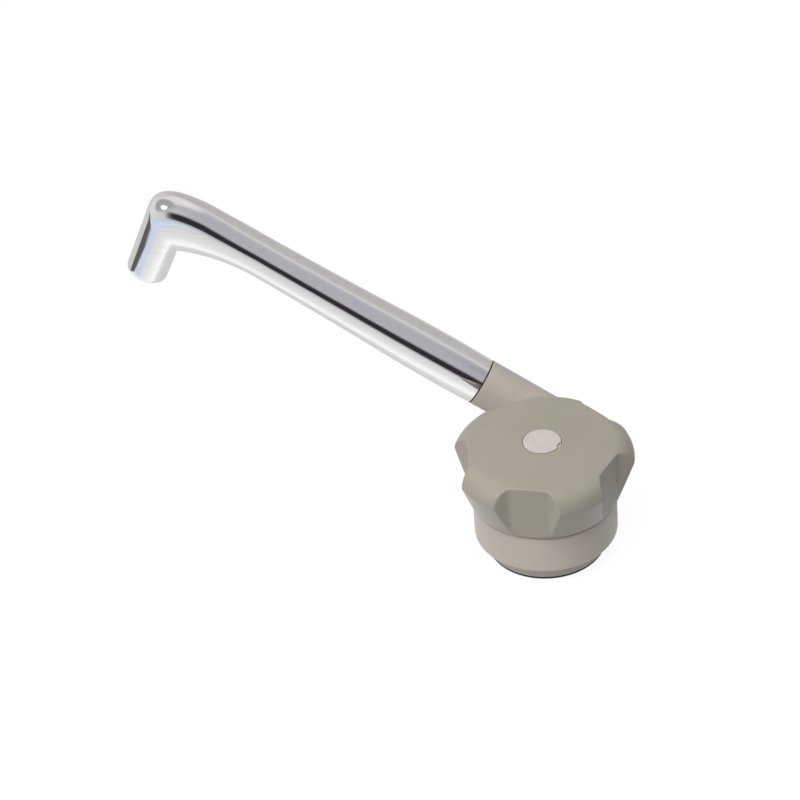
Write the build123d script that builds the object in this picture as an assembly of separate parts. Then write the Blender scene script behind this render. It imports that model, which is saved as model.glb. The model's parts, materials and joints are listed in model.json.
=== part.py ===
from build123d import *
import os
from math import cos, radians, sin, tan

# A fold-down water tap: a round body that swivels on a fixed base ring, a fluted hand knob on a
# quarter-turn valve, and a spout that folds up and down on an elbow behind the body.
# Millimetres. The origin is on the knob's axis, in the plane that the base stands on. +Z is up, +Y points
# from the knob towards the elbow, and the spout's arm points towards -X and upwards.

# ---- driving dimensions -------------------------------------------------------------------------------

# base ring and body
GASKET_RADIUS = 19.4
GASKET_TOP = 1.0
RING_RADIUS = 19.65
RING_TOP = 6.15
BODY_RADIUS = 23.75
BODY_BOTTOM = 6.4
BODY_TOP = 20.6
CHAMBER_RADIUS = 11.0
CHAMBER_FLOOR = 9.0

# knob
KNOB_BOTTOM = 21.3
KNOB_RIM_RADIUS = 24.7
KNOB_LOBE_RADIUS = 30.0
KNOB_LOBE_HEIGHT = 34.8
KNOB_SHOULDER_RADIUS = 23.4
KNOB_SHOULDER_HEIGHT = 41.2
KNOB_TOP = 42.4
KNOB_LOBES = 5
FIRST_FLUTE_ANGLE = -89.0
FLUTE_FLOOR_DISTANCE = 24.5
FLUTE_FLOOR_WIDTH = 13.3
FLUTE_SIDE_ANGLE = 50.0
KNOB_WALL = 2.6
CAP_RADIUS = 6.35
CAP_THICKNESS = 1.6
CAP_SLOT_ANGLE = -11.0
SCREW_RECESS_DEPTH = 3.6
KNOB_HOLLOW_TOP = 38.5
HUB_RADIUS = 6.6
HUB_BOTTOM = 33.4

# swivel socket, held in the base ring, with a quarter-inch pipe thread for the deck's hollow bolt
SOCKET_FLANGE_RADIUS = 15.0
SOCKET_FLANGE_TOP = 4.0
SOCKET_THREAD_RADIUS = 5.72
SOCKET_THREAD_DEPTH = 7.5
SWIVEL_RADIUS = 8.4
SWIVEL_TOP = 10.2
SWIVEL_CLIP_BOTTOM = 9.1
CLIP_THICKNESS = 0.8
INLET_RADIUS = 5.4
INLET_TOP = 13.0
INLET_BORE = 3.6

# valve
SPINDLE_RADIUS = 3.9
SPINDLE_TOP = 37.8
SPINDLE_RINGS = (26.0, 30.0)
SCREW_RADIUS = 2.0
DISC_RADIUS = 6.8
DISC_THICKNESS = 2.4
FIXED_DISC_BOTTOM = 13.6

# folding elbow and spout
FOLD_Y = 43.5
FOLD_Z = 12.5
TUBE_RADIUS = 8.25
NECK_START = 20.3
NECK_END = 29.0
SPIGOT_RADIUS = 5.1
SPIGOT_BORE = 2.7
SPIGOT_GROOVE = 1.1
SPIGOT_START = 12.5
SPIGOT_RINGS = (18.0, 26.0)
NIPPLE_RADIUS = 6.2
NIPPLE_REACH = 12.0
ARM_RISE = 31.1
JOINT_DISTANCE = 35.8
JOINT_SEAL_THICKNESS = 0.5
BEND_DISTANCE = 156.3
SPOUT_WAIST_RADIUS = 7.1
SWELL_LENGTH = 32.0
WAIST_DISTANCE = 84.0
FLARE_LENGTH = 26.5
FLARE_DROP = 7.2
FLARE_WIDENING = 0.2
HEEL_DISTANCE = 151.0
HEEL_TOP = 6.4
HEEL_BOTTOM = -15.0
CROWN_TOP = 4.9
CROWN_BOTTOM = -12.0
LEG_TILT = 24.0
LEG_START = 2.5
LEG_LENGTH = 30.0
LEG_TOP_RADIUS = 7.45
LEG_MOUTH_RADIUS = 7.1
WATERWAY_RADIUS = 4.6
MOUTH_RADIUS = 5.9
MOUTH_DEPTH = 5.0

# fits
RUNNING = 0.05

# ---- frames -------------------------------------------------------------------------------------------

# the fold axis: local +Z runs along +Y
FOLD_AXIS = Pos(0, 0, FOLD_Z) * Rot(-90, 0, 0)
# the arm: local +Z runs along the arm, local +X is up and square to it
ARM = Pos(0, FOLD_Y, FOLD_Z) * Rot(0, ARM_RISE - 90, 0)
# the outlet leg: local +Z runs down the leg to its mouth
BEND_X = -BEND_DISTANCE * cos(radians(ARM_RISE))
BEND_Z = FOLD_Z + BEND_DISTANCE * sin(radians(ARM_RISE))
LEG = Pos(BEND_X, FOLD_Y, BEND_Z) * Rot(0, 180 + LEG_TILT, 0)


# ---- shared shapes ------------------------------------------------------------------------------------

def rod(radius, bottom, top):
    """A cylinder about Z between two heights."""
    return Pos(0, 0, (bottom + top) / 2) * Cylinder(radius, top - bottom)


def tube(outer, inner, bottom, top):
    """A straight sleeve about Z between two heights."""
    return rod(outer, bottom, top) - rod(inner, bottom - 1, top + 1)


def turned(points):
    """A solid turned about Z from (radius, height) corners."""
    outline = Polyline(*[(r, 0, z) for r, z in points], close=True)
    return revolve(make_face(outline.edges()), Axis.Z)


def o_ring(middle_radius, section_radius, height):
    return Pos(0, 0, height) * Torus(middle_radius, section_radius)


def hexagon_bar(width, bottom, top):
    """A hexagonal bar about Z, given across its flats."""
    outline = RegularPolygon(width / 2, 6, major_radius=False)
    return Pos(0, 0, bottom) * extrude(outline, top - bottom)


# ---- fixed base ---------------------------------------------------------------------------------------

def deck_gasket():
    return tube(GASKET_RADIUS, 11.8, 0, GASKET_TOP)


def base_ring():
    """A cover ring over the socket's flange, with a recess on top for the thrust washer."""
    ring = rod(RING_RADIUS, GASKET_TOP, RING_TOP)
    ring = fillet(ring.edges().filter_by(GeomType.CIRCLE).group_by(Axis.Z)[-1], 0.5)
    ring -= rod(SOCKET_FLANGE_RADIUS, GASKET_TOP - 1, SOCKET_FLANGE_TOP)
    ring -= rod(9.4, 0, RING_TOP + 1)
    ring -= rod(16.5, 5.2, RING_TOP + 1)
    return ring


def thrust_washer():
    return tube(16.5, 9.4, 5.2, BODY_BOTTOM - RUNNING)


def swivel_socket():
    """The flanged inlet: threaded below, a bearing for the body, and a stub up into the valve."""
    socket = turned([
        (0, 0),
        (11.6, 0),
        (11.6, GASKET_TOP),
        (SOCKET_FLANGE_RADIUS, GASKET_TOP),
        (SOCKET_FLANGE_RADIUS, SOCKET_FLANGE_TOP),
        (SWIVEL_RADIUS, SOCKET_FLANGE_TOP),
        (SWIVEL_RADIUS, SWIVEL_TOP),
        (INLET_RADIUS, SWIVEL_TOP),
        (INLET_RADIUS, INLET_TOP),
        (0, INLET_TOP),
    ])
    socket -= rod(SOCKET_THREAD_RADIUS, -1, SOCKET_THREAD_DEPTH)
    socket -= rod(INLET_BORE, 0, INLET_TOP + 1)
    socket -= tube(SWIVEL_RADIUS + 1, SWIVEL_RADIUS - 1.0, 7.0, 8.3)
    socket -= tube(INLET_RADIUS + 1, INLET_RADIUS - 0.8, 11.4, 12.4)
    clip_top = SWIVEL_CLIP_BOTTOM + CLIP_THICKNESS
    return socket - tube(SWIVEL_RADIUS + 1, SWIVEL_RADIUS - 1.0, SWIVEL_CLIP_BOTTOM, clip_top)


def swivel_o_rings():
    """The body's seal and, above it, the valve's inlet seal."""
    rings = [o_ring(SWIVEL_RADIUS - 0.5, 0.5, 7.65), o_ring(INLET_RADIUS - 0.4, 0.4, 11.9)]
    return Compound(children=rings)


def swivel_circlip():
    """An open ring in the socket's groove, which keeps the body down."""
    clip_top = SWIVEL_CLIP_BOTTOM + CLIP_THICKNESS
    clip = tube(9.9, SWIVEL_RADIUS - 1.0, SWIVEL_CLIP_BOTTOM, clip_top)
    return clip - Pos(0, -8.6, clip_top) * Box(5, 4, 4)


# ---- swivelling body ----------------------------------------------------------------------------------

def tap_body():
    """The round casting and its neck, bored for the valve, the swivel socket and the spout's spigot."""
    drum = rod(BODY_RADIUS, BODY_BOTTOM, BODY_TOP)
    drum = fillet(drum.edges().filter_by(GeomType.CIRCLE), 0.9)
    neck = FOLD_AXIS * rod(TUBE_RADIUS, NECK_START, NECK_END)
    body = drum + neck
    body -= rod(CHAMBER_RADIUS, CHAMBER_FLOOR, BODY_TOP + 1)
    body -= rod(SWIVEL_RADIUS + RUNNING, BODY_BOTTOM - 1, CHAMBER_FLOOR + 1)
    body -= FOLD_AXIS * rod(SPIGOT_RADIUS + RUNNING, SPIGOT_START - 3, NECK_END + 1)
    return body - Pos(0, 22.5, 5.5) * Cylinder(2.0, 6.0)


def cartridge_housing():
    """Screws into the body; holds the discs below and the spindle above, with two outlet windows."""
    foot = INLET_TOP - 2.4
    housing = turned([
        (0, foot),
        (8.9, foot),
        (8.9, 18.2),
        (CHAMBER_RADIUS, 18.2),
        (CHAMBER_RADIUS, BODY_TOP),
        (0, BODY_TOP),
    ])
    housing += hexagon_bar(22, BODY_TOP, BODY_TOP + 3.4)
    housing += rod(7.2, BODY_TOP + 3, 32.8)
    housing -= rod(INLET_RADIUS + RUNNING, foot - 1, INLET_TOP + 1)
    housing -= rod(DISC_RADIUS + RUNNING, INLET_TOP + 0.2, 22.4)
    housing -= rod(SPINDLE_RADIUS + RUNNING, 22, 34)
    return housing - Pos(0, 0, 17.1) * Box(8, 24, 2.2)


def seat_seal():
    """A thin gasket between the fixed disc and the housing's ledge."""
    return tube(DISC_RADIUS - 0.1, INLET_RADIUS + 0.2, INLET_TOP + 0.2, FIXED_DISC_BOTTOM)


def valve_disc(bottom):
    """A ceramic disc with two opposite ports."""
    disc = rod(DISC_RADIUS, bottom, bottom + DISC_THICKNESS)
    port = Pos(3.6, 0, bottom) * Cylinder(1.9, 4 * DISC_THICKNESS)
    return disc - port - Rot(0, 0, 180) * port


def fixed_disc():
    return valve_disc(FIXED_DISC_BOTTOM)


def retaining_screw():
    """A grub screw through the neck's underside into the spigot's groove."""
    screw = Pos(0, 22.5, 6.15) * Cylinder(2.0, 3.5)
    return screw - Pos(0, 22.5, 4.4) * extrude(RegularPolygon(1.0, 6), 1.6)


def fold_washer():
    return FOLD_AXIS * tube(TUBE_RADIUS - 0.4, SPIGOT_RADIUS + 0.1, NECK_END, NECK_END + 0.55)


# ---- knob ---------------------------------------------------------------------------------------------

def knob_blank():
    """The knob before its flutes are cut: a cone below, a crisp edge and a round shoulder above."""
    start = (KNOB_RIM_RADIUS, 0, KNOB_BOTTOM)
    edge = (KNOB_LOBE_RADIUS, 0, KNOB_LOBE_HEIGHT)
    shoulder = (KNOB_SHOULDER_RADIUS, 0, KNOB_SHOULDER_HEIGHT)
    crown = (0, 0, KNOB_TOP)
    outline = Line((0, 0, KNOB_BOTTOM), start)
    outline += Line(start, edge)
    outline += TangentArc(edge, shoulder, tangent=(-0.08, 0, 1))
    outline += Line(shoulder, crown)
    outline += Line(crown, (0, 0, KNOB_BOTTOM))
    return revolve(make_face(outline.edges()), Axis.Z)


def knob_flute():
    """One finger flute: a flat floor with sides that splay outwards."""
    half = FLUTE_FLOOR_WIDTH / 2
    reach = KNOB_LOBE_RADIUS + 4 - FLUTE_FLOOR_DISTANCE
    splay = half + reach * tan(radians(FLUTE_SIDE_ANGLE))
    outline = Polyline(
        (FLUTE_FLOOR_DISTANCE, -half),
        (FLUTE_FLOOR_DISTANCE + reach, -splay),
        (FLUTE_FLOOR_DISTANCE + reach, splay),
        (FLUTE_FLOOR_DISTANCE, half),
        close=True,
    )
    block = extrude(make_face(outline.edges()), KNOB_TOP)
    inner_edges = block.edges().filter_by(Axis.Z).sort_by(Axis.X)[:2]
    return Pos(0, 0, KNOB_BOTTOM - 1) * fillet(inner_edges, 1.2)


def knob_shell():
    """The fluted hollow knob, with a hub for the spindle and a recess for the index cap."""
    knob = knob_blank()
    flute = knob_flute()
    for lobe in range(KNOB_LOBES):
        knob -= Rot(0, 0, FIRST_FLUTE_ANGLE + lobe * 360 / KNOB_LOBES) * flute
    inside = KNOB_RIM_RADIUS - KNOB_WALL
    hollow = turned([
        (0, KNOB_BOTTOM - 1),
        (inside, KNOB_BOTTOM - 1),
        (inside, KNOB_HOLLOW_TOP - 3),
        (inside - 4, KNOB_HOLLOW_TOP),
        (0, KNOB_HOLLOW_TOP),
    ])
    knob -= hollow - rod(HUB_RADIUS, HUB_BOTTOM, KNOB_TOP)
    knob -= rod(SPINDLE_RADIUS, HUB_BOTTOM - 1, SPINDLE_TOP + 0.2)
    knob -= rod(SCREW_RADIUS + 0.1, HUB_BOTTOM, KNOB_TOP + 1)
    return knob - rod(CAP_RADIUS, KNOB_TOP - SCREW_RECESS_DEPTH, KNOB_TOP + 1)


def index_cap():
    """A snap-in disc over the knob's screw, with a small pry slot in its edge."""
    top = KNOB_TOP - 0.15
    cap = rod(CAP_RADIUS - 0.08, top - CAP_THICKNESS, top)
    cap = fillet(cap.edges().filter_by(GeomType.CIRCLE).group_by(Axis.Z)[-1], 0.3)
    slot = Rot(0, 0, CAP_SLOT_ANGLE) * Pos(CAP_RADIUS, 0, top) * Box(1.6, 2.2, 1.6)
    return cap - slot


def knob_screw():
    """A cross-headed screw down through the knob into the spindle."""
    head_bottom = KNOB_TOP - SCREW_RECESS_DEPTH
    screw = rod(3.6, head_bottom, head_bottom + 1.7)
    screw += rod(SCREW_RADIUS, 29, head_bottom)
    for slot in (Box(1, 5, 1.4), Box(5, 1, 1.4)):
        screw -= Pos(0, 0, head_bottom + 1.6) * slot
    return screw


def spindle():
    """The valve's spindle: a driving foot on the moving disc and a stem up into the knob."""
    disc_top = FIXED_DISC_BOTTOM + 2 * DISC_THICKNESS + RUNNING
    stem = rod(DISC_RADIUS, disc_top, 22.0)
    stem += rod(SPINDLE_RADIUS, 21, SPINDLE_TOP)
    for height in SPINDLE_RINGS:
        stem -= tube(SPINDLE_RADIUS + 1, SPINDLE_RADIUS - 1, height - 0.6, height + 0.6)
    return stem - rod(SCREW_RADIUS, 28.5, SPINDLE_TOP + 1)


def spindle_o_rings():
    rings = [o_ring(SPINDLE_RADIUS - 0.5, 0.5, height) for height in SPINDLE_RINGS]
    return Compound(children=rings)


def moving_disc():
    return Rot(0, 0, 90) * valve_disc(FIXED_DISC_BOTTOM + DISC_THICKNESS + RUNNING)


# ---- folding spout ------------------------------------------------------------------------------------

def elbow():
    """The grooved spigot in the neck, the elbow behind the body, and the straight collar of the arm."""
    face = NECK_END + 0.6
    turned_part = rod(TUBE_RADIUS, face, FOLD_Y) + rod(SPIGOT_RADIUS, SPIGOT_START, face + 1)
    for place in SPIGOT_RINGS:
        turned_part -= tube(SPIGOT_RADIUS + 1, SPIGOT_RADIUS - SPIGOT_GROOVE, place - 0.75, place + 0.75)
    turned_part -= tube(SPIGOT_RADIUS + 1, SPIGOT_RADIUS - SPIGOT_GROOVE, 20.3, 24.7)
    collar_end = JOINT_DISTANCE - JOINT_SEAL_THICKNESS / 2
    body = FOLD_AXIS * turned_part
    body += Pos(0, FOLD_Y, FOLD_Z) * Sphere(TUBE_RADIUS)
    body += ARM * rod(TUBE_RADIUS, 0, collar_end)
    body -= FOLD_AXIS * rod(SPIGOT_BORE, SPIGOT_START - 1, FOLD_Y)
    body -= Pos(0, FOLD_Y, FOLD_Z) * Sphere(WATERWAY_RADIUS)
    body -= ARM * rod(WATERWAY_RADIUS, 0, collar_end + 1)
    return body - ARM * rod(NIPPLE_RADIUS, JOINT_DISTANCE - NIPPLE_REACH, collar_end + 1)


def spigot_o_rings():
    rings = [FOLD_AXIS * o_ring(SPIGOT_RADIUS - 0.55, 0.55, place) for place in SPIGOT_RINGS]
    return Compound(children=rings)


def spout_nipple():
    """A short tube that screws the chrome spout to the elbow's collar."""
    start = JOINT_DISTANCE - NIPPLE_REACH
    return ARM * tube(NIPPLE_RADIUS, WATERWAY_RADIUS, start, JOINT_DISTANCE + NIPPLE_REACH)


def joint_seal():
    half = JOINT_SEAL_THICKNESS / 2
    return ARM * tube(TUBE_RADIUS - 0.15, NIPPLE_RADIUS, JOINT_DISTANCE - half, JOINT_DISTANCE + half)


def arm_barrel():
    """The straight arm: it swells a little past the joint, then narrows to a waist before the bend."""
    start = JOINT_DISTANCE + JOINT_SEAL_THICKNESS / 2
    swell_end = start + SWELL_LENGTH
    waist = start + WAIST_DISTANCE
    swell = ThreePointArc(
        (TUBE_RADIUS, 0, start),
        (TUBE_RADIUS + 0.2, 0, start + SWELL_LENGTH / 2),
        (TUBE_RADIUS - 0.05, 0, swell_end),
    )
    taper = ThreePointArc(
        (TUBE_RADIUS - 0.05, 0, swell_end),
        (SPOUT_WAIST_RADIUS + 0.42, 0, (swell_end + waist) / 2),
        (SPOUT_WAIST_RADIUS, 0, waist),
    )
    outline = Line((0, 0, start), (TUBE_RADIUS, 0, start)) + swell + taper
    outline += Line((SPOUT_WAIST_RADIUS, 0, waist), (0, 0, waist))
    outline += Line((0, 0, waist), (0, 0, start))
    return revolve(make_face(outline.edges()), Axis.Z)


def arm_oval(distance, top, bottom, half_width):
    """An oval square to the arm, between a top and a bottom height measured from the arm's axis."""
    return Pos((top + bottom) / 2, 0, distance) * Ellipse((top - bottom) / 2, half_width)


def arm_flare():
    """The arm past its waist: the underside drops towards the leg while the top runs on, then rounds over."""
    waist = JOINT_DISTANCE + JOINT_SEAL_THICKNESS / 2 + WAIST_DISTANCE
    sections = []
    for step in range(5):
        share = step / 4
        bottom = -SPOUT_WAIST_RADIUS - FLARE_DROP * share ** 2
        half_width = SPOUT_WAIST_RADIUS + FLARE_WIDENING * share
        sections.append(arm_oval(waist + FLARE_LENGTH * share, SPOUT_WAIST_RADIUS, bottom, half_width))
    half_width = SPOUT_WAIST_RADIUS + FLARE_WIDENING
    sections.append(arm_oval(HEEL_DISTANCE, HEEL_TOP, HEEL_BOTTOM, half_width))
    sections.append(arm_oval(BEND_DISTANCE, CROWN_TOP, CROWN_BOTTOM, half_width))
    return loft(sections)


def spout_tube():
    """The chrome arm and outlet leg as one hollow casting with a round mouth."""
    leg = turned([
        (0, LEG_START),
        (LEG_TOP_RADIUS, LEG_START),
        (LEG_MOUTH_RADIUS, LEG_LENGTH),
        (0, LEG_LENGTH),
    ])
    leg = fillet(leg.edges().filter_by(GeomType.CIRCLE).group_by(Axis.Z)[-1], 0.9)
    leg += Pos(0, 0, LEG_START) * Sphere(LEG_TOP_RADIUS)
    body = ARM * (arm_barrel() + arm_flare()) + LEG * leg
    start = JOINT_DISTANCE
    body -= ARM * rod(NIPPLE_RADIUS, start - 1, start + NIPPLE_REACH)
    body -= ARM * rod(WATERWAY_RADIUS, start, BEND_DISTANCE - 2)
    body -= ARM * Pos(0, 0, BEND_DISTANCE - 2) * Sphere(WATERWAY_RADIUS)
    body -= LEG * rod(WATERWAY_RADIUS, 1, LEG_LENGTH)
    return body - LEG * rod(MOUTH_RADIUS, LEG_LENGTH - MOUTH_DEPTH - 7, LEG_LENGTH + 1)


def aerator_housing():
    """A sleeve pressed up the outlet, which holds the screen."""
    top = LEG_LENGTH - MOUTH_DEPTH - 6
    bottom = LEG_LENGTH - MOUTH_DEPTH
    sleeve = tube(MOUTH_RADIUS, 4.9, top, bottom)
    return LEG * (sleeve + tube(5.0, 3.9, top, top + 1))


def aerator_screen():
    """A perforated disc across the sleeve."""
    bottom = LEG_LENGTH - MOUTH_DEPTH - 0.4
    disc = rod(4.9, bottom - 1.2, bottom)
    hole = Cylinder(0.55, 6)
    for ring_radius, holes in ((1.5, 5), (3.3, 11)):
        for spot in PolarLocations(ring_radius, holes):
            disc -= Pos(0, 0, bottom) * spot * hole
    return LEG * disc


def aerator_seal():
    top = LEG_LENGTH - MOUTH_DEPTH - 7
    return LEG * tube(MOUTH_RADIUS - 0.05, 4.4, top, top + 1)


# ---- write every node ---------------------------------------------------------------------------------

NODES = [
    deck_gasket,
    base_ring,
    thrust_washer,
    swivel_socket,
    swivel_o_rings,
    swivel_circlip,
    tap_body,
    cartridge_housing,
    seat_seal,
    fixed_disc,
    retaining_screw,
    fold_washer,
    knob_shell,
    index_cap,
    knob_screw,
    spindle,
    spindle_o_rings,
    moving_disc,
    elbow,
    spigot_o_rings,
    spout_nipple,
    joint_seal,
    spout_tube,
    aerator_housing,
    aerator_screen,
    aerator_seal,
]

os.makedirs("parts", exist_ok=True)
for node in NODES:
    export_step(node(), f"parts/{node.__name__}.step")
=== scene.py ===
import json
from math import atan, atan2, cos, hypot, pi, radians, sin, tan

import bpy
from mathutils import Matrix, Vector


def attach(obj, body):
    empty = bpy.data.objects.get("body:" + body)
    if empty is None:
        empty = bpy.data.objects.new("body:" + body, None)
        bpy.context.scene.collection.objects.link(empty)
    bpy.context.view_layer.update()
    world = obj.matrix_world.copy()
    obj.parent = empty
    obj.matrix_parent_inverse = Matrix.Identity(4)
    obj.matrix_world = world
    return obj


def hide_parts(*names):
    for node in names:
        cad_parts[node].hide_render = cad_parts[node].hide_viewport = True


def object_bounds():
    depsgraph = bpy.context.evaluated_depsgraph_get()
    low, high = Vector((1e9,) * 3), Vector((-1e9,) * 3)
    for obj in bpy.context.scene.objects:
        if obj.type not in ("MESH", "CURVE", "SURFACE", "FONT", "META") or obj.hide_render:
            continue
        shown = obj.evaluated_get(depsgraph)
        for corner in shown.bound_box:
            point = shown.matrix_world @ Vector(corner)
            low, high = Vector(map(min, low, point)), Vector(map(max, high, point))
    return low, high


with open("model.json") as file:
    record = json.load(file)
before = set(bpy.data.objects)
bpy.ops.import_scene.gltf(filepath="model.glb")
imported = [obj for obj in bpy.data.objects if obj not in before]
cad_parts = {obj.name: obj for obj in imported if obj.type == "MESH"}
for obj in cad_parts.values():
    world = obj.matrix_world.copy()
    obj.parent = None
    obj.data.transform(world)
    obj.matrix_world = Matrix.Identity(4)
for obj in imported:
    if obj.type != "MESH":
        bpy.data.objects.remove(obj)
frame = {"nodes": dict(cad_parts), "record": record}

# A fold-down water tap: satin grey body, five-lobed hand knob with an index cap, and a chrome spout.
# Blender works in metres. The shapes below are given in millimetres and scaled where a mesh is made.
# Angles are in degrees, and azimuths are counted from +X towards +Y.

CAD_LOW, CAD_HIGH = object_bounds()
MM = 0.001
ARM_RISE = 31.1

# ---- camera -------------------------------------------------------------------------------------------

CAMERA_AZIMUTH = 16.7
CAMERA_ELEVATION = 36.8
CAMERA_ROLL = 4.9
CAMERA_DISTANCE = 1.0
CAMERA_TARGET = Vector((-0.0517, 0.0164, 0.0408))
LENS = 135.0
FARTHEST_SEEN = 20


def make_camera():
    """The camera at the object's three-quarter view, turned from -Y towards +X and rolled a little."""
    azimuth, elevation, roll = radians(CAMERA_AZIMUTH), radians(CAMERA_ELEVATION), radians(CAMERA_ROLL)
    back = Vector((sin(azimuth) * cos(elevation), -cos(azimuth) * cos(elevation), sin(elevation)))
    right = Vector((cos(azimuth), sin(azimuth), 0))
    level_up = back.cross(right)
    up = level_up * cos(roll) + right * sin(roll)
    side = up.cross(back)
    data = bpy.data.cameras.new("camera")
    data.lens = LENS
    data.clip_end = FARTHEST_SEEN
    camera = bpy.data.objects.new("camera", data)
    bpy.context.scene.collection.objects.link(camera)
    camera.location = CAMERA_TARGET + back * CAMERA_DISTANCE
    camera.rotation_mode = "QUATERNION"
    rows = [[side[i], up[i], back[i]] for i in range(3)]
    camera.rotation_quaternion = Matrix(rows).to_quaternion()
    bpy.context.scene.camera = camera


# ---- colours and shader nodes -------------------------------------------------------------------------

def grey(level, warmth=0.0):
    return (level * (1 + warmth), level, level * (1 - warmth))


def shade(colour, factor):
    return tuple(channel * factor for channel in colour)


def direction(azimuth, elevation):
    """A unit vector."""
    turn, lift = radians(azimuth), radians(elevation)
    return Vector((cos(turn) * cos(lift), sin(turn) * cos(lift), sin(lift)))


def fill_ramp(ramp, stops):
    """Replaces a colour ramp's stops with (position, colour) pairs."""
    elements = ramp.color_ramp.elements
    while len(elements) > 1:
        elements.remove(elements[-1])
    elements[0].position, elements[0].color = stops[0][0], (*stops[0][1], 1)
    for position, colour in stops[1:]:
        elements.new(position).color = (*colour, 1)


def ramp_of(nodes, links, value, low, high, stops):
    """Colours along a value's range; the stops are given in the value's own units."""
    mapper = nodes.new("ShaderNodeMapRange")
    mapper.inputs["From Min"].default_value = low
    mapper.inputs["From Max"].default_value = high
    links.new(value, mapper.inputs["Value"])
    ramp = nodes.new("ShaderNodeValToRGB")
    fill_ramp(ramp, [((place - low) / (high - low), colour) for place, colour in stops])
    links.new(mapper.outputs["Result"], ramp.inputs["Fac"])
    return ramp.outputs["Color"]


def smooth_step(nodes, links, value, low, high):
    """Rises smoothly from 0 to 1 as a value goes from low to high."""
    mapper = nodes.new("ShaderNodeMapRange")
    mapper.interpolation_type = "SMOOTHSTEP"
    mapper.inputs["From Min"].default_value = low
    mapper.inputs["From Max"].default_value = high
    links.new(value, mapper.inputs["Value"])
    return mapper.outputs["Result"]


def calculate(nodes, links, operation, first, second):
    """One arithmetic node; each input is a socket or a number."""
    node = nodes.new("ShaderNodeMath")
    node.operation = operation
    for slot, value in zip(node.inputs, (first, second)):
        if isinstance(value, (int, float)):
            slot.default_value = value
        else:
            links.new(value, slot)
    return node.outputs[0]


def product_of(nodes, links, *factors):
    """Several factors multiplied together, such as the limits of a patch."""
    product = factors[0]
    for factor in factors[1:]:
        product = calculate(nodes, links, "MULTIPLY", product, factor)
    return product


def mix_sockets(nodes, links, factor, first, second):
    """A colour between two; each is a socket or a colour."""
    mix = nodes.new("ShaderNodeMix")
    mix.data_type = "RGBA"
    links.new(factor, mix.inputs["Factor"])
    for slot, value in ((mix.inputs["A"], first), (mix.inputs["B"], second)):
        if isinstance(value, tuple):
            slot.default_value = (*value, 1)
        else:
            links.new(value, slot)
    return mix.outputs["Result"]


def towards(nodes, links, vector, azimuth, elevation):
    """The cosine of the angle between a direction socket and a fixed direction."""
    dot = nodes.new("ShaderNodeVectorMath")
    dot.operation = "DOT_PRODUCT"
    dot.inputs[1].default_value = direction(azimuth, elevation)
    links.new(vector, dot.inputs[0])
    return dot.outputs["Value"]


# ---- studio -------------------------------------------------------------------------------------------

LAMP_DISTANCE = 0.9

# name, azimuth, elevation, width and height in metres, power in watts, and whether mirrors show it
LAMPS = [
    ("glint", -126, 38, (0.20, 0.16), 1.1, True),
    ("key", -96, 62, (0.50, 0.40), 4.9, False),
    ("fill", -80, 8, (0.30, 0.20), 0.9, False),
]


def soft_lamp(name, azimuth, elevation, size, power, mirrored):
    """A soft oval panel pointed at the object, placed by its direction."""
    data = bpy.data.lights.new(name, "AREA")
    data.shape = "ELLIPSE"
    data.size, data.size_y = size
    data.energy = power
    lamp = bpy.data.objects.new(name, data)
    lamp.visible_glossy = mirrored
    bpy.context.scene.collection.objects.link(lamp)
    middle = (CAD_LOW + CAD_HIGH) / 2
    outward = direction(azimuth, elevation)
    lamp.location = middle + outward * LAMP_DISTANCE
    lamp.rotation_mode = "QUATERNION"
    lamp.rotation_quaternion = outward.to_track_quat("Z", "Y")


# the room's tone at each azimuth, as mirrors show it
ROOM = [
    (-180, grey(0.80, 0.02)),
    (-140, grey(0.80, 0.02)),
    (-105, grey(0.70, 0.0)),
    (-85, grey(0.54, -0.03)),
    (-50, (0.500, 0.495, 0.540)),
    (-15, (0.500, 0.495, 0.540)),
    (8, grey(0.56, -0.01)),
    (24, grey(0.76, 0.0)),
    (36, grey(0.60, 0.02)),
    (60, grey(0.54, 0.03)),
    (100, grey(0.56, 0.03)),
    (150, grey(0.74, 0.02)),
    (180, grey(0.80, 0.02)),
]

# round patches of the room: azimuth, elevation, the cosines at its edge and where it is full, and its tone
ROOM_PATCHES = [
    (-135, 46, 0.83, 0.93, (0.42, 0.415, 0.43)),
    (-4, 2, 0.60, 0.88, grey(0.05)),
]

# the light that matt surfaces get from the room, fading towards its darker side
SOFT_LIGHT = grey(0.45)
SHADED_LIGHT = grey(0.16)
SHADED_AZIMUTH = 10
SHADED_ELEVATION = 10
SHADED_EDGE = -0.3
SHADED_CORE = 0.7

# the panel overhead, from the sine of the elevation at its edge to where it is full
PANEL_EDGE = 0.82
PANEL_CORE = 0.97
PANEL_LIGHT = grey(2.0)
PANEL_MIRRORED = grey(0.85)

# a dark gap near the camera's side; its heights are sines of the elevation
GAP_TONE = (0.035, 0.028, 0.032)
GAP_AZIMUTH = -76
GAP_ELEVATION = 12
GAP_EDGE = 0.80
GAP_CORE = 0.93
GAP_FOOT = (0.0, 0.10)
GAP_HEAD = (0.50, 0.34)

BACKDROP = grey(1.0)


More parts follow.
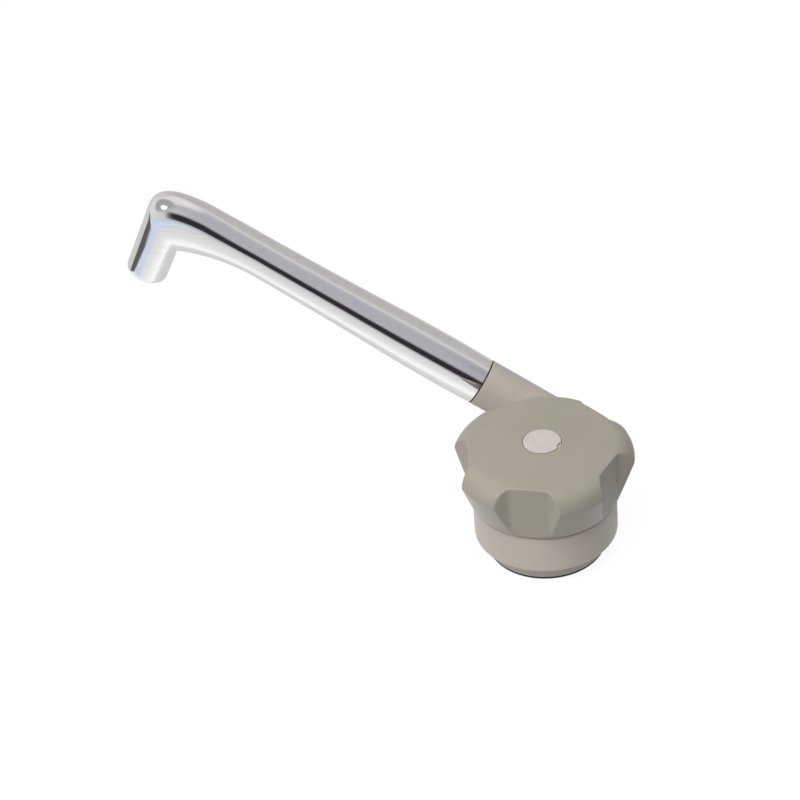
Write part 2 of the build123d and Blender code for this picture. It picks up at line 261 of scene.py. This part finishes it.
def make_world():
    """A grey room with a panel overhead. The camera sees white, and matt surfaces get a smoother light."""
    world = bpy.data.worlds.new("studio")
    bpy.context.scene.world = world
    world.use_nodes = True
    nodes, links = world.node_tree.nodes, world.node_tree.links
    rays = nodes.new("ShaderNodeLightPath")
    ray = nodes.new("ShaderNodeTexCoord").outputs["Generated"]
    split = nodes.new("ShaderNodeSeparateXYZ")
    links.new(ray, split.inputs[0])
    height = split.outputs["Z"]

    turn = calculate(nodes, links, "ARCTAN2", split.outputs["Y"], split.outputs["X"])
    turn = calculate(nodes, links, "MULTIPLY", turn, 180 / pi)
    room = ramp_of(nodes, links, turn, -180, 180, ROOM)

    to_shade = towards(nodes, links, ray, SHADED_AZIMUTH, SHADED_ELEVATION)
    shaded = smooth_step(nodes, links, to_shade, SHADED_EDGE, SHADED_CORE)
    soft = mix_sockets(nodes, links, shaded, SOFT_LIGHT, SHADED_LIGHT)
    room = mix_sockets(nodes, links, rays.outputs["Is Diffuse Ray"], room, soft)

    overhead = smooth_step(nodes, links, height, PANEL_EDGE, PANEL_CORE)
    panel = mix_sockets(nodes, links, rays.outputs["Is Glossy Ray"], PANEL_LIGHT, PANEL_MIRRORED)
    room = mix_sockets(nodes, links, overhead, room, panel)

    for azimuth, elevation, edge, core, tone in ROOM_PATCHES:
        inside = smooth_step(nodes, links, towards(nodes, links, ray, azimuth, elevation), edge, core)
        room = mix_sockets(nodes, links, inside, room, tone)

    to_gap = towards(nodes, links, ray, GAP_AZIMUTH, GAP_ELEVATION)
    gap = product_of(
        nodes,
        links,
        smooth_step(nodes, links, height, *GAP_FOOT),
        smooth_step(nodes, links, height, *GAP_HEAD),
        smooth_step(nodes, links, to_gap, GAP_EDGE, GAP_CORE),
    )
    room = mix_sockets(nodes, links, gap, room, GAP_TONE)
    room = mix_sockets(nodes, links, rays.outputs["Is Camera Ray"], room, BACKDROP)
    links.new(room, nodes["Background"].inputs["Color"])


FLOOR_RADIUS = 1.4
FLOOR_CORNERS = 96
FLOOR_SEEN = grey(0.93)
FLOOR_BASE = grey(0.10)

# the table's tone at each place along Y in metres, as mirrors show it
TABLE_LIGHT = [
    (-0.80, grey(0.62)),
    (-0.30, grey(0.62)),
    (-0.17, grey(0.70)),
    (-0.10, grey(0.72)),
    (-0.05, grey(0.78)),
    (-0.015, grey(0.94)),
    (0.006, grey(1.04)),
    (0.022, grey(0.72)),
    (0.05, grey(0.62)),
    (0.12, grey(0.60)),
    (0.30, grey(0.62)),
]

# the light that the table gives back to matt surfaces, from its left to its right
BOUNCE_LEFT = grey(0.52)
BOUNCE_RIGHT = grey(0.14)
BOUNCE_ACROSS = (0.0, 0.10)

# two patches that mirrors show; each pair is where it begins and where it is full, in metres
BLUE_TONE = (0.58, 0.68, 0.83)
BLUE_ACROSS = (-0.19, -0.24)
BLUE_ALONG = (-0.03, -0.06)
DARK_TONE = (0.020, 0.009, 0.004)
DARK_ACROSS = (-0.315, -0.345)
DARK_BACK = (0.06, 0.03)
DARK_FRONT = (-0.11, -0.07)


def make_floor():
    """A table that glows: plain and pale to the camera, uneven in mirrors and in the light it gives back."""
    ring = []
    for step in range(FLOOR_CORNERS):
        angle = 2 * pi * step / FLOOR_CORNERS
        ring.append((FLOOR_RADIUS * cos(angle), FLOOR_RADIUS * sin(angle), 0))
    mesh = bpy.data.meshes.new("floor")
    mesh.from_pydata(ring, [], [list(range(FLOOR_CORNERS))])
    floor = bpy.data.objects.new("floor", mesh)
    bpy.context.scene.collection.objects.link(floor)

    material, nodes, links, shader = new_material("floor_white")
    shader.inputs["Base Color"].default_value = (*FLOOR_BASE, 1)
    shader.inputs["Roughness"].default_value = 1.0
    shader.inputs["Specular IOR Level"].default_value = 0.0
    shader.inputs["Emission Strength"].default_value = 1.0
    rays = nodes.new("ShaderNodeLightPath")
    place = nodes.new("ShaderNodeSeparateXYZ")
    links.new(nodes.new("ShaderNodeNewGeometry").outputs["Position"], place.inputs[0])
    across, along = place.outputs["X"], place.outputs["Y"]
    table = ramp_of(nodes, links, along, TABLE_LIGHT[0][0], TABLE_LIGHT[-1][0], TABLE_LIGHT)

    blue = product_of(
        nodes,
        links,
        smooth_step(nodes, links, across, *BLUE_ACROSS),
        smooth_step(nodes, links, along, *BLUE_ALONG),
    )
    table = mix_sockets(nodes, links, blue, table, BLUE_TONE)
    dark = product_of(
        nodes,
        links,
        smooth_step(nodes, links, across, *DARK_ACROSS),
        smooth_step(nodes, links, along, *DARK_BACK),
        smooth_step(nodes, links, along, *DARK_FRONT),
    )
    table = mix_sockets(nodes, links, dark, table, DARK_TONE)

    right = smooth_step(nodes, links, across, *BOUNCE_ACROSS)
    bounce = mix_sockets(nodes, links, right, BOUNCE_LEFT, BOUNCE_RIGHT)
    table = mix_sockets(nodes, links, rays.outputs["Is Diffuse Ray"], table, bounce)
    table = mix_sockets(nodes, links, rays.outputs["Is Camera Ray"], table, FLOOR_SEEN)
    links.new(table, shader.inputs["Emission Color"])
    mesh.materials.append(material)


# ---- materials ----------------------------------------------------------------------------------------

KNOB_GREY = (0.312, 0.288, 0.238)
CAP_GREY = (0.51, 0.470, 0.443)
BODY_GREY = (0.475, 0.424, 0.373)
RING_GREY = (0.42, 0.376, 0.330)
NYLON_WHITE = (0.78, 0.77, 0.73)
CERAMIC_WHITE = (0.86, 0.85, 0.82)
BRASS_YELLOW = (0.72, 0.56, 0.30)
STEEL_GREY = (0.62, 0.62, 0.63)
CHROME_DIM = (0.785, 0.785, 0.80)
CHROME_CLEAR = (0.865, 0.86, 0.862)
RUBBER_BLACK = (0.012, 0.012, 0.013)
RUBBER_BLOOM = (0.032, 0.031, 0.031)
SCRATCH_TURN = 35.0

MATERIALS = {}


def new_material(name):
    """A node material with a principled shader; returns its parts."""
    material = bpy.data.materials.new(name)
    material.use_nodes = True
    nodes, links = material.node_tree.nodes, material.node_tree.links
    return material, nodes, links, nodes["Principled BSDF"]


def object_noise(nodes, links, scale, detail=3.0, roughness=0.55, stretch=(1, 1, 1), turn=0, tip=0):
    """Noise in the object's own coordinates, in cycles per metre, turned about Z or tipped about Y first."""
    place = nodes.new("ShaderNodeTexCoord")
    mapping = nodes.new("ShaderNodeMapping")
    mapping.inputs["Rotation"].default_value = (0, radians(tip), radians(turn))
    mapping.inputs["Scale"].default_value = stretch
    noise = nodes.new("ShaderNodeTexNoise")
    noise.inputs["Scale"].default_value = scale
    noise.inputs["Detail"].default_value = detail
    noise.inputs["Roughness"].default_value = roughness
    links.new(place.outputs["Object"], mapping.inputs["Vector"])
    links.new(mapping.outputs["Vector"], noise.inputs["Vector"])
    return noise.outputs["Fac"]


def spread(nodes, links, value, low, high, from_low=0.3, from_high=0.7):
    """Maps the middle of a noise value's range onto another range."""
    mapper = nodes.new("ShaderNodeMapRange")
    mapper.inputs["From Min"].default_value = from_low
    mapper.inputs["From Max"].default_value = from_high
    mapper.inputs["To Min"].default_value = low
    mapper.inputs["To Max"].default_value = high
    links.new(value, mapper.inputs["Value"])
    return mapper.outputs["Result"]


def tint_between(nodes, links, noise, low, high):
    """A colour that goes from low to high with a noise value."""
    return mix_sockets(nodes, links, spread(nodes, links, noise, 0, 1), low, high)


def add_bump(nodes, links, shader, height, distance):
    """Fine relief from a noise value; the distance is in metres."""
    bump = nodes.new("ShaderNodeBump")
    bump.inputs["Strength"].default_value = 1.0
    bump.inputs["Distance"].default_value = distance
    links.new(height, bump.inputs["Height"])
    links.new(bump.outputs["Normal"], shader.inputs["Normal"])


def satin_plastic(name, colour, roughness, grain=2600.0, relief=0.000006):
    """Moulded plastic: a fine even grain, slight clouding and a soft sheen."""
    material, nodes, links, shader = new_material(name)
    clouds = object_noise(nodes, links, 45.0, detail=2.0)
    speckle = object_noise(nodes, links, grain, detail=4.0, roughness=0.65)
    clouded = tint_between(nodes, links, clouds, shade(colour, 0.955), shade(colour, 1.035))
    tone = tint_between(nodes, links, speckle, grey(0.94), grey(1.05))
    fleck = nodes.new("ShaderNodeMix")
    fleck.data_type = "RGBA"
    fleck.blend_type = "MULTIPLY"
    fleck.inputs["Factor"].default_value = 1.0
    links.new(clouded, fleck.inputs["A"])
    links.new(tone, fleck.inputs["B"])
    links.new(fleck.outputs["Result"], shader.inputs["Base Color"])
    matt = spread(nodes, links, speckle, roughness - 0.05, roughness + 0.05)
    links.new(matt, shader.inputs["Roughness"])
    add_bump(nodes, links, shader, speckle, relief)
    return material


def scuffed_plastic(name, colour, roughness):
    """The cap's smoother plastic, with a few faint scratches that cross it on a slant."""
    material, nodes, links, shader = new_material(name)
    clouds = object_noise(nodes, links, 320.0)
    scratches = object_noise(
        nodes, links, 900.0, roughness=0.6, stretch=(1.0, 0.12, 1.0), turn=SCRATCH_TURN
    )
    lines = smooth_step(nodes, links, scratches, 0.60, 0.72)
    clouded = tint_between(nodes, links, clouds, shade(colour, 0.95), shade(colour, 1.04))
    scuffed = mix_sockets(nodes, links, lines, clouded, shade(colour, 0.88))
    links.new(scuffed, shader.inputs["Base Color"])
    matt = spread(nodes, links, clouds, roughness - 0.06, roughness + 0.06)
    links.new(matt, shader.inputs["Roughness"])
    add_bump(nodes, links, shader, lines, -0.00001)
    return material


def chrome(name):
    """Polished plating: nearly a mirror, with faint buffing lines along the arm and a little waviness."""
    material, nodes, links, shader = new_material(name)
    shader.inputs["Metallic"].default_value = 1.0
    haze = object_noise(nodes, links, 160.0, detail=4.0, roughness=0.6)
    buffing = object_noise(nodes, links, 1100.0, roughness=0.6, stretch=(0.04, 1.0, 1.0), tip=ARM_RISE)
    tint = tint_between(nodes, links, buffing, CHROME_DIM, CHROME_CLEAR)
    links.new(tint, shader.inputs["Base Color"])
    links.new(spread(nodes, links, haze, 0.05, 0.10), shader.inputs["Roughness"])
    waves = object_noise(nodes, links, 70.0, detail=1.0, roughness=0.4)
    add_bump(nodes, links, shader, waves, 0.00003)
    return material


def machined(name, colour, roughness):
    """Turned metal: fine rings of tool marks, as noise stretched round the part's height."""
    material, nodes, links, shader = new_material(name)
    shader.inputs["Metallic"].default_value = 1.0
    marks = object_noise(nodes, links, 900.0, roughness=0.6, stretch=(0.15, 0.15, 3.0))
    tint = tint_between(nodes, links, marks, shade(colour, 0.85), shade(colour, 1.08))
    links.new(tint, shader.inputs["Base Color"])
    matt = spread(nodes, links, marks, roughness - 0.08, roughness + 0.08)
    links.new(matt, shader.inputs["Roughness"])
    add_bump(nodes, links, shader, marks, 0.00002)
    return material


def rubber(name):
    """Matt black seal rubber with a dusty bloom."""
    material, nodes, links, shader = new_material(name)
    bloom = object_noise(nodes, links, 500.0, detail=4.0, roughness=0.7)
    tint = tint_between(nodes, links, bloom, RUBBER_BLACK, RUBBER_BLOOM)
    links.new(tint, shader.inputs["Base Color"])
    links.new(spread(nodes, links, bloom, 0.62, 0.82), shader.inputs["Roughness"])
    add_bump(nodes, links, shader, bloom, 0.00003)
    return material


def make_materials():
    """One material for each slot in the record, under the slot's name."""
    MATERIALS["knob_grey"] = satin_plastic("knob_grey", KNOB_GREY, 0.34)
    MATERIALS["cap_grey"] = scuffed_plastic("cap_grey", CAP_GREY, 0.36)
    MATERIALS["body_grey"] = satin_plastic("body_grey", BODY_GREY, 0.38)
    MATERIALS["ring_grey"] = satin_plastic("ring_grey", RING_GREY, 0.45)
    MATERIALS["chrome"] = chrome("chrome")
    MATERIALS["brass"] = machined("brass", BRASS_YELLOW, 0.28)
    MATERIALS["steel"] = machined("steel", STEEL_GREY, 0.30)
    MATERIALS["seal_black"] = rubber("seal_black")
    MATERIALS["nylon_white"] = satin_plastic("nylon_white", NYLON_WHITE, 0.5, grain=900.0, relief=0.00001)
    MATERIALS["ceramic"] = satin_plastic("ceramic", CERAMIC_WHITE, 0.2, grain=1500.0, relief=0.000003)


def dress_cad_nodes():
    """Gives every CAD node the material of its slot in the record."""
    for part in frame["record"]["subparts"]:
        node = frame["nodes"][part["node"]]
        node.data.materials.clear()
        node.data.materials.append(MATERIALS[part["material_slot"]])


# ---- mesh helper --------------------------------------------------------------------------------------

SHARP_ANGLE = 40.0


def grid_piece(name, rings, material, body, node):
    """A closed piece from rings of points in millimetres; the last ring joins the first."""
    count = len(rings[0])
    vertices = [[value * MM for value in point] for ring in rings for point in ring]
    faces = []
    for index in range(len(rings)):
        here, there = index * count, (index + 1) % len(rings) * count
        for step in range(count):
            beside = (step + 1) % count
            faces.append((here + step, here + beside, there + beside, there + step))
    mesh = bpy.data.meshes.new(name)
    mesh.from_pydata(vertices, [], faces)
    mesh.polygons.foreach_set("use_smooth", [True] * len(faces))
    mesh.set_sharp_from_angle(angle=radians(SHARP_ANGLE))
    mesh.materials.append(material)
    piece = bpy.data.objects.new(name, mesh)
    bpy.context.scene.collection.objects.link(piece)
    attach(piece, body)
    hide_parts(node)


# ---- hand knob ----------------------------------------------------------------------------------------

KNOB_BOTTOM = 21.3
KNOB_RIM_RADIUS = 24.7
KNOB_LOBE_RADIUS = 30.0
KNOB_LOBE_HEIGHT = 34.8
KNOB_SHOULDER_RADIUS = 23.4
KNOB_SHOULDER_HEIGHT = 41.2
KNOB_TOP = 42.4
KNOB_CROWN_SLOPE = (KNOB_TOP - KNOB_SHOULDER_HEIGHT) / KNOB_SHOULDER_RADIUS
KNOB_LOBES = 5
FIRST_FLUTE_ANGLE = -89.0
FLUTE_FLOOR_DISTANCE = 24.5
FLUTE_HALF_WIDTH = 6.65
FLUTE_SIDE_ANGLE = 50.0
FLUTE_CORNER = 0.8
FLUTE_EDGE = 0.7
NARROWEST_OPENING = 0.05
CAP_RADIUS = 6.35
RECESS_DEPTH = 3.6
CROWN_START = CAP_RADIUS + 0.35
KNOB_POINTS = 540

# the direction in which the shoulder's arc has its centre, seen from the lobes' edge
SHOULDER_LEAN = (-1.0, -0.08)

# the rounding of the knob's edges, as (radius, height) steps from the sharp corners that they replace
RECESS_EDGE = ((0.02, -0.35), (0.12, -0.1))
LOBE_EDGE = ((-0.02, 0.12), (-0.06, -0.12))
RIM_EDGE = ((0.05, 0.3), (-0.1, 0.08), (-0.35, 0.0))

# the knob's inside
HOLLOW_RADIUS = 22.1
HOLLOW_TOP = 38.5
HOLLOW_BEVEL_WIDTH = 4.0
HOLLOW_BEVEL_HEIGHT = 3.0
HUB_RADIUS = 6.6
HUB_BOTTOM = 33.4
SPINDLE_RADIUS = 3.9
SPINDLE_SEAT_TOP = 38.0
SCREW_HOLE_RADIUS = 2.1


def smooth_least(first, second, reach):
    """The lesser of two lengths, rounded where they are nearly equal."""
    nearness = max(reach - abs(first - second), 0) / reach
    return min(first, second) - nearness * nearness * reach / 4


def smooth_most(first, second, reach):
    return -smooth_least(-first, -second, reach)


def flute_reach(angle):
    """How far from the knob's axis its flutes let the surface stand, at an angle."""
    pitch = 360 / KNOB_LOBES
    from_flute = radians((angle - FIRST_FLUTE_ANGLE + pitch / 2) % pitch - pitch / 2)
    floor = FLUTE_FLOOR_DISTANCE / cos(from_flute)
    splay = tan(radians(FLUTE_SIDE_ANGLE))
    opening = cos(from_flute) * splay - abs(sin(from_flute))
    side = (FLUTE_FLOOR_DISTANCE * splay - FLUTE_HALF_WIDTH) / max(opening, NARROWEST_OPENING)
    return smooth_most(floor, side, FLUTE_CORNER)


def shoulder_arc():
    """Centre, radius and end angles of the arc from the lobes' edge up to the shoulder."""
    lean = Vector(SHOULDER_LEAN).normalized()
    edge = Vector((KNOB_LOBE_RADIUS, KNOB_LOBE_HEIGHT))
    across = Vector((KNOB_SHOULDER_RADIUS, KNOB_SHOULDER_HEIGHT)) - edge
    radius = across.length_squared / (2 * across.dot(lean))
    centre = edge + lean * radius
    first = atan2(edge.y - centre.y, edge.x - centre.x)
    last = atan2(KNOB_SHOULDER_HEIGHT - centre.y, KNOB_SHOULDER_RADIUS - centre.x)
    return centre, radius, first, last


def crown_height(radius):
    """The height of the knob's slightly conical top."""
    return KNOB_SHOULDER_HEIGHT + (KNOB_SHOULDER_RADIUS - radius) * KNOB_CROWN_SLOPE


def rounded_edge(radius, height, edge):
    """The points that round off a corner of the knob's outline."""
    return [(radius + outward, height + upward) for outward, upward in edge]


def knob_outline():
    """The knob's outside from its cap recess over the shoulder to its rim, as (radius, height)."""
    outline = rounded_edge(CAP_RADIUS, crown_height(CAP_RADIUS), RECESS_EDGE)
    crown_steps = 24
    for step in range(crown_steps):
        radius = CROWN_START + (KNOB_SHOULDER_RADIUS - CROWN_START) * step / crown_steps
        outline.append((radius, crown_height(radius)))
    centre, arc_radius, first, last = shoulder_arc()
    arc_steps = 44
    for step in range(arc_steps):
        angle = last + (first - last) * step / arc_steps
        outline.append((centre.x + arc_radius * cos(angle), centre.y + arc_radius * sin(angle)))
    outline += rounded_edge(KNOB_LOBE_RADIUS, KNOB_LOBE_HEIGHT, LOBE_EDGE)
    cone_steps = 22
    lift = KNOB_LOBE_HEIGHT - KNOB_BOTTOM
    for step in range(1, cone_steps):
        share = step / cone_steps
        radius = KNOB_LOBE_RADIUS + (KNOB_RIM_RADIUS - KNOB_LOBE_RADIUS) * share
        outline.append((radius, KNOB_LOBE_HEIGHT - lift * share))
    return outline + rounded_edge(KNOB_RIM_RADIUS, KNOB_BOTTOM, RIM_EDGE)


def knob_underside():
    """The hollow, the hub, the spindle's seat and the screw hole, from the rim back to the cap recess."""
    recess_floor = KNOB_TOP - RECESS_DEPTH
    return [
        (HOLLOW_RADIUS, KNOB_BOTTOM),
        (HOLLOW_RADIUS, HOLLOW_TOP - HOLLOW_BEVEL_HEIGHT),
        (HOLLOW_RADIUS - HOLLOW_BEVEL_WIDTH, HOLLOW_TOP),
        (HUB_RADIUS, HOLLOW_TOP),
        (HUB_RADIUS, HUB_BOTTOM),
        (SPINDLE_RADIUS, HUB_BOTTOM),
        (SPINDLE_RADIUS, SPINDLE_SEAT_TOP),
        (SCREW_HOLE_RADIUS, SPINDLE_SEAT_TOP),
        (SCREW_HOLE_RADIUS, recess_floor),
        (CAP_RADIUS, recess_floor),
    ]


def make_knob():
    """The fluted hand knob as one skin: a turned outline held back by five flutes."""
    angles = [360 * step / KNOB_POINTS for step in range(KNOB_POINTS)]
    reaches = [flute_reach(angle) for angle in angles]
    rings = []
    for radius, height in knob_outline():
        ring = []
        for angle, reach in zip(angles, reaches):
            held = smooth_least(radius, reach, FLUTE_EDGE)
            ring.append((held * cos(radians(angle)), held * sin(radians(angle)), height))
        rings.append(ring)
    for radius, height in knob_underside():
        rings.append([(radius * cos(radians(a)), radius * sin(radians(a)), height) for a in angles])
    grid_piece("hand_knob", rings, MATERIALS["knob_grey"], "knob", "knob_shell")


# ---- chrome spout -------------------------------------------------------------------------------------
# Sections are (underside point, outside point, half width), and points are (along the arm, square to it).

FOLD_Y = 43.5
FOLD_Z = 12.5
LEG_TILT = 24.0
LEG_LEAN = ARM_RISE - LEG_TILT
JOINT_DISTANCE = 35.8
JOINT_SEAL_THICKNESS = 0.5
TUBE_RADIUS = 8.25
SWELL = 0.2
SWELL_LENGTH = 32.0
SWELL_LOSS = 0.05
TAPER_SAG = 0.15
WAIST_DISTANCE = 84.0
WAIST_RADIUS = 7.1
FLARE_RUN = 26.2
FLARE_CURVATURE = 0.0102
FLARE_WIDENING = 0.1
CORNER_WIDENING = 0.055
INNER_FILLET = 1.5
BEND_DISTANCE = 156.3
TOP_CORNER_START = 146.0
TOP_CORNER_HANDLES = ((157.5, 6.3), (164.7, 3.2))
TOP_CORNER_END = 4.0
LEG_LENGTH = 30.0
LEG_TOP_RADIUS = 7.45
LEG_MOUTH_RADIUS = 7.1
LEG_STRAIGHT_START = 17.6
RIM_ROUNDING = 0.9
WALL = 2.5
NIPPLE_RADIUS = 6.2
NIPPLE_REACH = 12.0
MOUTH_RADIUS = 5.9
MOUTH_BORE = 12.0
WATERWAY_END = -17.5
SPOUT_POINTS = 96
PARALLEL = 1e-9
END_TOLERANCE = 1e-6

ARM_START = JOINT_DISTANCE + JOINT_SEAL_THICKNESS / 2
WAIST = ARM_START + WAIST_DISTANCE


def arm_point(along, height, side):
    """The tap's own (x, y, z) of a point given along the arm, square to it and sideways."""
    rise = radians(ARM_RISE)
    return (
        -along * cos(rise) + height * sin(rise),
        FOLD_Y + side,
        FOLD_Z + along * sin(rise) + height * cos(rise),
    )


def oval_ring(inner, outer, half_width):
    """A ring of points round an oval that spans the spout from its underside to its outside."""
    middle = ((inner[0] + outer[0]) / 2, (inner[1] + outer[1]) / 2)
    span = ((outer[0] - inner[0]) / 2, (outer[1] - inner[1]) / 2)
    ring = []
    for step in range(SPOUT_POINTS):
        angle = 2 * pi * step / SPOUT_POINTS
        along = middle[0] + span[0] * cos(angle)
        height = middle[1] + span[1] * cos(angle)
        ring.append(arm_point(along, height, half_width * sin(angle)))
    return ring


def arm_radius(along):
    """The straight arm's radius: a slight swell past the joint, then a long easy taper to the waist."""
    run = along - ARM_START
    if run < SWELL_LENGTH:
        return TUBE_RADIUS + SWELL * sin(pi * run / SWELL_LENGTH) - SWELL_LOSS * run / SWELL_LENGTH
    share = (run - SWELL_LENGTH) / (WAIST_DISTANCE - SWELL_LENGTH)
    start = TUBE_RADIUS - SWELL_LOSS
    return start + (WAIST_RADIUS - start) * share - 4 * TAPER_SAG * share * (1 - share)


def bezier(points, share):
    """A point on a cubic curve."""
    left = 1 - share
    weights = (left ** 3, 3 * left * left * share, 3 * left * share * share, share ** 3)
    return tuple(sum(w * p[axis] for w, p in zip(weights, points)) for axis in (0, 1))


def leg_point(distance, offset):
    """A point down the leg's axis and off to its back, as (along, height) in the arm's plane."""
    lean = radians(LEG_LEAN)
    return (
        BEND_DISTANCE - distance * sin(lean) + offset * cos(lean),
        -distance * cos(lean) - offset * sin(lean),
    )


def leg_radius(distance):
    taper = (LEG_TOP_RADIUS - LEG_MOUTH_RADIUS) / LEG_LENGTH
    return LEG_TOP_RADIUS - taper * distance


def leg_section(distance, radius):
    """A round section square to the leg."""
    return (leg_point(distance, -radius), leg_point(distance, radius), radius)


def outer_line():
    """The spout's outside in the arm's plane: straight top, rounded corner, then the leg's back."""
    corner_end = leg_point(TOP_CORNER_END, leg_radius(TOP_CORNER_END))
    corner = ((TOP_CORNER_START, WAIST_RADIUS), *TOP_CORNER_HANDLES, corner_end)
    corner_steps = 60
    lead = 5
    line = [(WAIST - lead, WAIST_RADIUS)]
    line += [bezier(corner, step / corner_steps) for step in range(corner_steps + 1)]
    line.append(leg_point(LEG_LENGTH, leg_radius(LEG_LENGTH)))
    return line


def cross_outside(line, start, tilt):
    """Where a ray from the underside, tilted from the arm's upward normal, meets the outside."""
    ray = (sin(tilt), cos(tilt))
    for first, second in zip(line, line[1:]):
        edge = (second[0] - first[0], second[1] - first[1])
        gap = (first[0] - start[0], first[1] - start[1])
        turn = ray[0] * edge[1] - ray[1] * edge[0]
        if abs(turn) < PARALLEL:
            continue
        reach = (gap[0] * edge[1] - gap[1] * edge[0]) / turn
        share = (gap[0] * ray[1] - gap[1] * ray[0]) / turn
        if reach > 0 and -END_TOLERANCE <= share <= 1 + END_TOLERANCE:
            return (start[0] + ray[0] * reach, start[1] + ray[1] * reach)
    raise ValueError("the ray misses the spout's outside")


def bend_stations():
    """The sections through the flare and round the inner corner."""
    line = outer_line()
    stations = []
    flare_steps = 22
    for step in range(1, flare_steps + 1):
        run = FLARE_RUN * step / flare_steps
        tilt = atan(2 * FLARE_CURVATURE * run)
        inner = (WAIST + run, -WAIST_RADIUS - FLARE_CURVATURE * run * run)
        half_width = WAIST_RADIUS + FLARE_WIDENING * step / flare_steps
        stations.append((inner, cross_outside(line, inner, tilt), half_width))
    end_tilt = tilt
    pivot = (inner[0] - INNER_FILLET * sin(end_tilt), inner[1] - INNER_FILLET * cos(end_tilt))
    fan_steps = 24
    last_tilt = radians(90 + LEG_LEAN)
    for step in range(1, fan_steps + 1):
        share = step / fan_steps
        tilt = end_tilt + (last_tilt - end_tilt) * share
        inner = (pivot[0] + INNER_FILLET * sin(tilt), pivot[1] + INNER_FILLET * cos(tilt))
        half_width = WAIST_RADIUS + FLARE_WIDENING + CORNER_WIDENING * share
        stations.append((inner, cross_outside(line, inner, tilt), half_width))
    return stations


def spout_stations():
    """Every section of the spout's outside, from the joint to the start of the mouth's rounding."""
    stations = []
    arm_steps = 36
    for step in range(arm_steps + 1):
        along = ARM_START + WAIST_DISTANCE * step / arm_steps
        radius = arm_radius(along)
        stations.append(((along, -radius), (along, radius), radius))
    stations += bend_stations()
    leg_steps = 8
    leg_run = LEG_LENGTH - RIM_ROUNDING - LEG_STRAIGHT_START
    for step in range(leg_steps + 1):
        distance = LEG_STRAIGHT_START + leg_run * step / leg_steps
        stations.append(leg_section(distance, leg_radius(distance)))
    return stations


def shrunk(station, wall):
    """The same section, smaller all round by the wall's thickness."""
    inner, outer, half_width = station
    length = hypot(outer[0] - inner[0], outer[1] - inner[1])
    step = ((outer[0] - inner[0]) / length * wall, (outer[1] - inner[1]) / length * wall)
    return (
        (inner[0] + step[0], inner[1] + step[1]),
        (outer[0] - step[0], outer[1] - step[1]),
        half_width - wall,
    )


def mouth_sections():
    """The rounded rim and the bore above it, down the leg's outside and up its inside."""
    sections = []
    rim_radius = leg_radius(LEG_LENGTH)
    rim_steps = 7
    for step in range(1, rim_steps + 1):
        angle = pi / 2 * step / rim_steps
        distance = LEG_LENGTH - RIM_ROUNDING + RIM_ROUNDING * sin(angle)
        sections.append(leg_section(distance, rim_radius - RIM_ROUNDING + RIM_ROUNDING * cos(angle)))
    edge_depth, edge_width = 0.06, 0.08
    sections.append(leg_section(LEG_LENGTH - edge_depth, MOUTH_RADIUS + edge_width))
    for depth in (0.25, 4, 8, MOUTH_BORE):
        sections.append(leg_section(LEG_LENGTH - depth, MOUTH_RADIUS))
    return sections


def waterway_sections(outside):
    """The spout's inside as far as the mouth's bore: the nipple's seat, then a wall's thickness in."""
    sections = []
    for station in outside:
        along, height = station[0]
        if along < JOINT_DISTANCE + NIPPLE_REACH:
            sections.append(((along, -NIPPLE_RADIUS), (along, NIPPLE_RADIUS), NIPPLE_RADIUS))
        elif height >= WATERWAY_END:
            sections.append(shrunk(station, WALL))
    return sections


def make_spout():
    """The arm, its deepening underside, the bend and the outlet leg as one polished skin with a bore."""
    outside = spout_stations()
    sections = outside + mouth_sections() + waterway_sections(outside)[::-1]
    rings = [oval_ring(*section) for section in sections]
    grid_piece("spout", rings, MATERIALS["chrome"], "spout", "spout_tube")


# ---- build --------------------------------------------------------------------------------------------

bpy.context.scene.view_settings.view_transform = "Standard"
make_camera()
make_world()
make_materials()
make_floor()
for lamp in LAMPS:
    soft_lamp(*lamp)
dress_cad_nodes()
make_knob()
make_spout()
